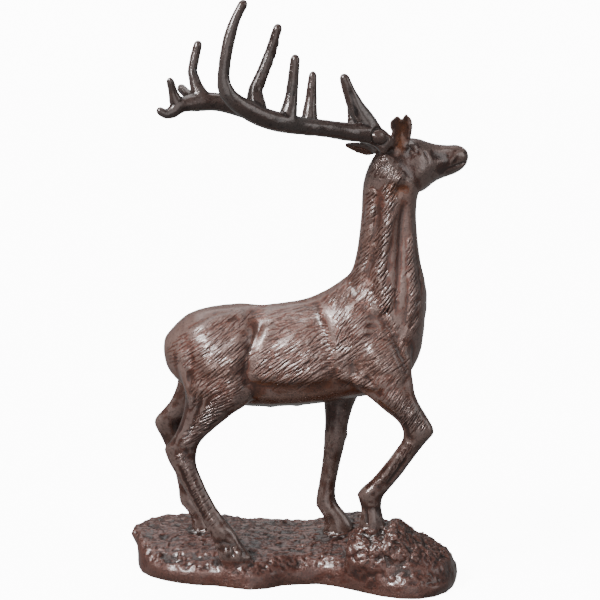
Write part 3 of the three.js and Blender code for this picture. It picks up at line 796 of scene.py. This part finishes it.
def carve_ground(skin, sizes, ground):
    """Wavy earth that turns to pebbles toward the rock, broken blocks in the rock, and a smooth rim."""
    where = np.flatnonzero(ground & (skin.places[:, 2] > 3))
    spots = skin.places[where]
    x, y, z = spots.T
    up = smooth_step(skin.out[where, 2], 0.2, 0.7)
    depth = sizes.ripple_depth / MM
    waves = 1 - np.abs(noise(spots / (16, 8, 60), 21)) * 2.6
    wavelets = 1 - np.abs(noise(spots / (7, 4, 60), 22)) * 2.6
    lumps = noise(spots / (4.6, 3.8, 3.8), 26)
    grit = noise(spots / 2.4, 24)
    toward_rock = smooth_step(x, -10, 60)
    earth = (0.8 - 0.5 * toward_rock) * waves + 0.55 * wavelets
    earth = earth + (0.35 + 0.35 * toward_rock) * lumps + 0.45 * grit
    skin.rise[where] += up * depth * (earth - 0.6)
    rock = smooth_step(x, 42, 50) * (1 - smooth_step(y, 4, 18)) * smooth_step(z, 27, 36)
    skin.rise[where] += rock * (1.2 * blocks(spots, 14.0, 31) + 0.7 * blocks(spots, 5.5, 41))
    rim = (1 - up) * (1 - rock)
    pebbly = smooth_step(x, 20, 70) * smooth_step(z, 9, 16)
    lobes = 1.7 * noise(spots / (26, 26, 50), 29) + 0.5 * noise(spots / (10, 10, 12), 32) + 0.4
    above_floor = smooth_step(z, 0, 9)
    skin.rise[where] += rim * above_floor * (lobes + 0.12 * noise(spots / 2.6, 30) + 0.8 * pebbly * lumps)
    for height, radius, spot in CLODS:
        skin.push(height, radius, [spot])
    skin.settle()


def carve_casting_skin(skin):
    """The slight unevenness that a sand mould leaves all over, except on the level underside."""
    level = skin.places[:, 2] < 0.5
    uneven = 0.16 * noise(skin.places / 9.0, 50) + 0.07 * noise(skin.places / 2.6, 51)
    skin.rise += np.where(level, 0, uneven)
    skin.settle()


# ------------------------------------------------------------------ the casting

def rough_casting(grain):
    """A fine even skin over a merged copy of the CAD solid."""
    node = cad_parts[NODE]
    rough = node.copy()
    rough.data = node.data.copy()
    rough.name = "rough_casting"
    rough.parent = None
    rough.matrix_world = node.matrix_world.copy()
    bpy.context.scene.collection.objects.link(rough)
    select_only(rough)
    bpy.ops.object.mode_set(mode="EDIT")
    bpy.ops.mesh.select_all(action="SELECT")
    bpy.ops.mesh.remove_doubles(threshold=0.005 * MM)
    bpy.ops.object.mode_set(mode="OBJECT")
    apply_modifier(rough, "REMESH", mode="VOXEL", voxel_size=grain)
    return rough


def softness(skin):
    """How much each point may be rounded off: fully on the trunk, and less where the casting is thin."""
    ground, antlers = shares(skin)
    x, y, z = skin.places.T
    right_ear = (z > 446) & (x > 87.5)
    left_ear = (z > 422) & (z < 447) & (x < 74) & (y > 12)
    share = np.ones(len(z))
    share[z < 200] = 0.75
    share[(z < 172) & ~ground] = 0.45
    share[ground] = 0.5
    share[antlers] = 0.28
    share[right_ear | left_ear] = 0.08
    share = skin.spread(share, 6)
    share[z < 0.6] = 0
    return share


def carve(sizes):
    """The casting's skin with all that is carved in it."""
    rough = rough_casting(sizes.grain)
    skin = Skin(rough.data)
    bpy.data.objects.remove(rough)
    fineness = (SMOOTHING_GRAIN / sizes.grain) ** 2
    skin.round_off(max(int(FACET_RUBS * fineness), 2), softness(skin))
    melt_joins(skin, fineness)
    carve_forms(skin)
    shape_ear(skin)
    ground, antlers = shares(skin)
    carve_hair(skin, sizes, ~ground & ~antlers)
    carve_antlers(skin, antlers)
    carve_ground(skin, sizes, ground)
    carve_casting_skin(skin)
    low, high = (np.array(corner) / MM - ZERO for corner in CAD_BOX)
    skin.places = np.clip(skin.places, low, high)
    return skin


def as_piece(skin, name):
    """The carved skin as a new object."""
    mesh = bpy.data.meshes.new(name)
    places = (skin.places + ZERO) * MM
    mesh.from_pydata(places.tolist(), [], skin.faces.tolist())
    mesh.validate()
    piece = bpy.data.objects.new(name, mesh)
    bpy.context.scene.collection.objects.link(piece)
    return piece


def finish_piece(piece, most):
    """Thins a piece to its triangle limit, where it is plainest, and smooths its shading."""
    select_only(piece)
    bpy.ops.object.mode_set(mode="EDIT")
    bpy.ops.mesh.select_all(action="SELECT")
    bpy.ops.mesh.quads_convert_to_tris()
    bpy.ops.mesh.normals_make_consistent(inside=False)
    bpy.ops.object.mode_set(mode="OBJECT")
    triangles = len(piece.data.polygons)
    if triangles > most:
        apply_modifier(piece, "DECIMATE", decimate_type="COLLAPSE", ratio=most / triangles)
    bpy.ops.object.shade_smooth()
    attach(piece, BODY)
    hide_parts(NODE)


def mark_patina(piece):
    """Stores at each point what the patina and its painted shade and highlight depend on: how deep it lies in
    a cut or a hollow (under 0 where it is raised), whether it is earth, antler, leg or head, or takes painted
    warm shade, and how its hair lies."""
    skin = Skin(piece.data)
    places = skin.places
    fine = skin.spread(places, 3)
    broad = skin.spread(fine, 24)
    groove = ((fine - places) * skin.out).sum(axis=1)
    hollow = ((broad - fine) * skin.out).sum(axis=1)
    ground, antlers = shares(skin)
    z = places[:, 2]

    # A leg is thin and round all over, so only what stands out from its own roundness counts as raised.
    legs = (1 - smooth_step(z, 180, 215)) * ~ground
    groove = groove - 0.6 * legs * skin.spread(groove, 24)
    # Painted warm shade goes on the underside of the belly.
    belly = smooth_step(-skin.out[:, 2], 0.25, 0.6) * smooth_step(z, 176, 190)
    belly *= 1 - smooth_step(z, 215, 235)
    right_ear = closeness(in_head([(8, 13, 440), (8, 17, 466)], RIGHT), 6, places)
    left_ear = closeness(in_head([(-8, 20, 434), (-24, 36, 438)], LEFT), 7, places)
    under_jaw = closeness([(94, -20, 400), (107, -17, 402)], 9, places)
    nose = 1.5 * closeness(in_head([(91, 0, 431)], RIGHT), 9, places)
    burrs = np.maximum.reduce([closeness([burr], 8, places) for burr in BURRS])
    hoof = closeness([(78, -36, 80), (80, -36, 66)], 8, places)

    # The burrs get painted shade as dark as a cut's, and the nose is made as dark as a cut too.
    burr_shade_and_dark_nose = np.maximum(burrs, nose)
    # Rust with painted warm shade in the ear hollows and under the jaw.
    rust_and_warm_shade = np.maximum.reduce([right_ear, left_ear, under_jaw])
    layers = {
        "groove": groove / 0.2 + 0.6 * burr_shade_and_dark_nose,
        "hollow": hollow / 0.8 + 0.35 * burr_shade_and_dark_nose,
        "earth": skin.spread(ground * 1.0, 3),
        # Legs and head, with the antlers: these are made darker and glossier.
        "legs_and_head": np.maximum(legs, smooth_step(z, 385, 420) * ~ground),
        "steel": skin.spread(np.maximum.reduce([antlers * (1 - 0.9 * burrs), nose, 0.7 * hoof]), 3),
        # Painted warm shade under the belly, with rust in the ear and jaw hollows.
        "rust_and_warm_shade": np.maximum(belly, 0.8 * rust_and_warm_shade),
    }
    cover, lie = hair_cover(places)
    cover = cover * smooth_step(np.abs(skin.out[:, 1]), 0.2, 0.5) * ~ground * ~antlers
    apart = LIES[1] - LIES[0]
    for slope in LIES:
        layers[f"hair_{slope}"] = cover * np.clip(1 - np.abs(lie - slope) / apart, 0, 1)
    for name, values in layers.items():
        layer = piece.data.attributes.new(name, "FLOAT", "POINT")
        layer.data.foreach_set("value", np.clip(values, -1, 1).astype(np.float32))


# ------------------------------------------------------------------ finish

# What mark_patina stores at each point that the colours and the shine depend on.
MARKS = ("groove", "hollow", "earth", "steel", "legs_and_head", "rust_and_warm_shade")

# The patina's patterns, each with its size in mm and its detail: rust clouds, blotches and the sand's grain,
# which is drawn at 1.3 mm so that it shows.
PATTERNS = (("clouds", 24, 4.0), ("blotches", 6, 4.0), ("specks", 1.3, 3.0))

# Each coat of colour over the brown, in the order they are laid, and where it shows: a value, the range that
# it runs over and the share of the coat at either end of that range. The shares of one coat multiply.
COATS = (
    ("red", (("clouds", 0.42, 0.62, 0.0, 0.9),)),
    ("earth", (("earth", 0.0, 1.0, 0.0, 1.0), ("blotches", 0.3, 0.6, 0.7, 1.0))),
    # Darker, and through the roughness glossier, on the legs and the head.
    ("dark", (("legs_and_head", 0.0, 1.0, 0.0, 0.55),)),
    ("steel", (("steel", 0.0, 1.0, 0.0, 0.97), ("clouds", 0.4, 0.6, 0.45, 1.0))),
    ("orange", (("hollow", 0.1, 0.9, 0.0, 0.1), ("blotches", 0.38, 0.6, 0.2, 1.0))),
    # Painted shade in the pits and hollows of the ground.
    ("dark", (("hollow", -0.1, 0.7, 0.0, 0.75), ("earth", 0.0, 1.0, 0.0, 1.0))),
    # Painted shade in the cuts, and on the burrs.
    ("dark", (("groove", 0.0, 0.8, 0.0, 0.55),)),
    # Rust with painted warm shade under the belly and in the ear and jaw hollows.
    ("orange", (("rust_and_warm_shade", 0.0, 1.0, 0.0, 1.0), ("blotches", 0.3, 0.6, 0.35, 0.8))),
    # Painted highlight, partly wear: raised edges lighter and greyer, less so on earth, antlers, legs and
    # head.
    ("wear_and_highlight", (("groove", 0.05, -0.7, 0.0, 0.55), ("clouds", 0.32, 0.6, 0.35, 1.0),
              ("earth", 1.0, 0.0, 0.22, 1.0), ("steel", 1.0, 0.0, 0.55, 1.0),
              ("legs_and_head", 1.0, 0.0, 0.85, 1.0))),
    ("dark", (("specks", 0.5, 0.68, 0.0, 0.5),)),
)

# Length, breadth and thickness of a single hair's tuft, in mm. Real hairs would be too fine to show.
TUFT = (12, 6, 1.6)

# How deep the single hairs, the sand's grain and the blotches stand in the surface, in mm.
TUFT_DEPTH = 1.8
GRAIN_DEPTH = 0.45
BLOTCH_DEPTH = 0.8


def patina_values(tree, place):
    """The marks stored on the casting and the patina's patterns, by name."""
    values = {}
    for name in MARKS:
        values[name] = add_node(tree, "ShaderNodeAttribute", attribute_name=name).outputs["Fac"]
    for name, size, detail in PATTERNS:
        values[name] = add_node(tree, "ShaderNodeTexNoise", {
            "Vector": place, "Scale": 0.5 / (size * MM), "Detail": detail, "Roughness": 0.62}).outputs["Fac"]
    return values


def lay_coats(tree, values, finish):
    """The colour of the brown ground with each coat laid over it in turn."""
    base = linear(finish.brown)
    for colour, ranges in COATS:
        share = 1.0
        for name, low, high, least, most in ranges:
            part = add_node(tree, "ShaderNodeMapRange", {
                "Value": values[name], "From Min": low, "From Max": high, "To Min": least, "To Max": most},
                interpolation_type="SMOOTHSTEP").outputs["Result"]
            both = add_node(tree, "ShaderNodeMath", {0: share, 1: part}, operation="MULTIPLY")
            share = both.outputs["Value"]
        laid = add_node(tree, "ShaderNodeMix", {
            0: share, 6: base, 7: linear(getattr(finish, colour))}, data_type="RGBA")
        base = laid.outputs[2]
    return base


def single_hairs(tree, place):
    """The height of the single hairs, too fine to cut, which lie the same way as the cut locks."""
    hairs = 0.0
    for slope in LIES:
        combed = add_node(tree, "ShaderNodeMapping", {
            "Vector": place, "Rotation": (0, -math.radians(slope), 0),
            "Scale": [side * MM for side in TUFT]}, vector_type="TEXTURE").outputs["Vector"]
        strands = add_node(tree, "ShaderNodeTexNoise", {
            "Vector": combed, "Scale": 1.0, "Detail": 2.0, "Roughness": 0.5}).outputs["Fac"]
        cover = add_node(tree, "ShaderNodeAttribute", attribute_name=f"hair_{slope}").outputs["Fac"]
        added = add_node(tree, "ShaderNodeMath", {0: strands, 1: cover, 2: hairs}, operation="MULTIPLY_ADD")
        hairs = added.outputs["Value"]
    return hairs


def patinated_iron(finish):
    """Sand-cast grey iron, rusted brown under a wax: brown with redder clouds, painted shade in the cuts,
    rust orange with painted warm shade in the hollows and under the belly, and a broad grey painted
    highlight, partly wear, on the raised edges."""
    material = bpy.data.materials.new("patinated_cast_iron")
    material.use_nodes = True
    tree = material.node_tree
    tree.nodes.clear()
    place = add_node(tree, "ShaderNodeTexCoord").outputs["Object"]
    values = patina_values(tree, place)
    shine = add_node(tree, "ShaderNodeMapRange", {
        "Value": values["blotches"], "From Min": 0.3, "From Max": 0.7, "To Min": 0.3, "To Max": 0.5})
    glossier = add_node(tree, "ShaderNodeMath", {
        0: values["legs_and_head"], 1: -0.22, 2: shine.outputs["Result"]}, operation="MULTIPLY_ADD")
    combed = add_node(tree, "ShaderNodeBump", {
        "Strength": 1.0, "Distance": TUFT_DEPTH * MM, "Height": single_hairs(tree, place)})
    grit = add_node(tree, "ShaderNodeMath", {
        0: values["earth"], 1: values["specks"], 2: values["specks"]}, operation="MULTIPLY_ADD")
    pitted = add_node(tree, "ShaderNodeBump", {
        "Strength": 1.0, "Distance": GRAIN_DEPTH * MM, "Height": grit.outputs["Value"],
        "Normal": combed.outputs["Normal"]})
    uneven = add_node(tree, "ShaderNodeBump", {
        "Strength": 0.3, "Distance": BLOTCH_DEPTH * MM, "Height": values["blotches"],
        "Normal": pitted.outputs["Normal"]})
    shader = add_node(tree, "ShaderNodeBsdfPrincipled", {
        "Base Color": lay_coats(tree, values, finish), "Metallic": 0.3,
        "Roughness": glossier.outputs["Value"], "Normal": uneven.outputs["Normal"],
        "Coat Weight": 0.85, "Coat Roughness": 0.2})
    add_node(tree, "ShaderNodeOutputMaterial", {"Surface": shader.outputs["BSDF"]})
    return material


def plain_floor(finish):
    """A matt pale board that glows evenly, so that it gives the eye nothing but its own paleness."""
    material = bpy.data.materials.new("matt_floor")
    material.use_nodes = True
    shader = material.node_tree.nodes["Principled BSDF"]
    shader.inputs["Base Color"].default_value = linear(finish.floor)
    shader.inputs["Roughness"].default_value = 0.9
    shader.inputs["Emission Color"].default_value = (1, 1, 1, 1)
    shader.inputs["Emission Strength"].default_value = FLOOR_GLOW
    return material


# ------------------------------------------------------------------ operators

# The floor's side in metres, and how brightly the floor, the room and the backdrop glow.
FLOOR_SIZE = 14
FLOOR_GLOW = 11.0
ROOM_LIGHT = 0.22
BACKDROP_GLOW = 12.5

# Each lamp's azimuth, elevation, strength and width in degrees, which is how large it looks from the casting.
LAMPS = {
    "key": (-50, 42, 2.9, 25),
    "glint": (-38, 34, 1.8, 7),
    "front": (8, 8, 0.5, 50),
    "side": (74, 22, 0.4, 30),
    "top": (200, 68, 0.9, 50),
}

# The camera's azimuth and elevation in degrees, its distance and the height it looks at in metres, and its
# lens and sensor in mm.
VIEW = (5, 10)
VIEW_DISTANCE = 2.0
VIEW_HEIGHT = 0.287
LENS = 120
SENSOR = 36


class STAG_OT_casting(bpy.types.Operator):
    """Carve the stag, its antlers and its ground from the CAD solid"""

    bl_idname = "stag.casting"
    bl_label = "Cast stag"
    bl_options = {"REGISTER", "UNDO"}

    def execute(self, context):
        sizes = context.scene.stag_carving
        skin = carve(sizes)
        casting = as_piece(skin, "stag_casting")
        finish_piece(casting, sizes.triangles)
        mark_patina(casting)
        casting.data.materials.append(patinated_iron(context.scene.stag_finish))
        return {"FINISHED"}


class STAG_OT_stage(bpy.types.Operator):
    """Add the floor, the lights and the camera"""

    bl_idname = "stag.stage"
    bl_label = "Stage"
    bl_options = {"REGISTER", "UNDO"}

    def execute(self, context):
        finish = context.scene.stag_finish
        bpy.ops.object.select_all(action="DESELECT")
        bpy.ops.mesh.primitive_plane_add(size=FLOOR_SIZE)
        floor = context.active_object
        floor.name = "floor"
        floor.data.materials.append(plain_floor(finish))
        floor.visible_diffuse = False
        floor.visible_glossy = False
        set_world()
        for name, (azimuth, elevation, strength, width) in LAMPS.items():
            add_lamp(name, azimuth, elevation, strength, width)
        add_camera(Vector((ZERO[0] * MM, ZERO[1] * MM, VIEW_HEIGHT)))
        return {"FINISHED"}


def direction(azimuth, elevation):
    """The way from the object to a light or camera. Azimuth 0 is in front, at -Y, and 90 is at +X."""
    a, e = math.radians(azimuth), math.radians(elevation)
    return Vector((math.sin(a) * math.cos(e), -math.cos(a) * math.cos(e), math.sin(e)))


def set_world():
    """Even light from all round, and a brighter white where the camera looks past the floor."""
    world = bpy.data.worlds.new("studio")
    bpy.context.scene.world = world
    world.use_nodes = True
    tree = world.node_tree
    tree.nodes.clear()
    room = add_node(tree, "ShaderNodeBackground", {"Color": (1, 1, 1, 1), "Strength": ROOM_LIGHT})
    backdrop = add_node(tree, "ShaderNodeBackground", {"Color": (1, 1, 1, 1), "Strength": BACKDROP_GLOW})
    looked_at = add_node(tree, "ShaderNodeLightPath").outputs["Is Camera Ray"]
    mixed = add_node(tree, "ShaderNodeMixShader", {
        0: looked_at, 1: room.outputs["Background"], 2: backdrop.outputs["Background"]})
    add_node(tree, "ShaderNodeOutputWorld", {"Surface": mixed.outputs["Shader"]})


def add_lamp(name, azimuth, elevation, strength, width):
    """Adds a soft, far light that shines on the casting from this side."""
    bpy.ops.object.light_add(type="SUN", location=direction(azimuth, elevation))
    lamp = bpy.context.active_object
    lamp.name = name
    lamp.rotation_euler = direction(azimuth, elevation).to_track_quat("Z", "Y").to_euler()
    lamp.data.energy = strength
    lamp.data.angle = math.radians(width)


def add_camera(target):
    """Adds the camera, looking at the target."""
    way = direction(*VIEW)
    bpy.ops.object.camera_add(location=target + VIEW_DISTANCE * way)
    camera = bpy.context.active_object
    camera.name = "camera"
    camera.rotation_euler = way.to_track_quat("Z", "Y").to_euler()
    camera.data.sensor_width = SENSOR
    camera.data.lens = LENS
    bpy.context.scene.camera = camera


class STAG_PT_panel(bpy.types.Panel):
    """Buttons and sizes for the cast iron stag."""

    bl_label = "Cast Iron Stag"
    bl_idname = "STAG_PT_panel"
    bl_space_type = "VIEW_3D"
    bl_region_type = "UI"
    bl_category = "Stag"

    def draw(self, context):
        for group in (context.scene.stag_carving, context.scene.stag_finish):
            for name in group.__annotations__:
                self.layout.prop(group, name)
        self.layout.operator(STAG_OT_casting.bl_idname)
        self.layout.operator(STAG_OT_stage.bl_idname)


CLASSES = (StagCarving, StagFinish, STAG_OT_casting, STAG_OT_stage, STAG_PT_panel)


def register():
    for cls in CLASSES:
        bpy.utils.register_class(cls)
    bpy.types.Scene.stag_carving = PointerProperty(type=StagCarving)
    bpy.types.Scene.stag_finish = PointerProperty(type=StagFinish)


def unregister():
    del bpy.types.Scene.stag_carving
    del bpy.types.Scene.stag_finish
    for cls in reversed(CLASSES):
        bpy.utils.unregister_class(cls)


def main():
    register()
    bpy.ops.stag.casting()
    bpy.ops.stag.stage()


if __name__ == "__main__":
    main()
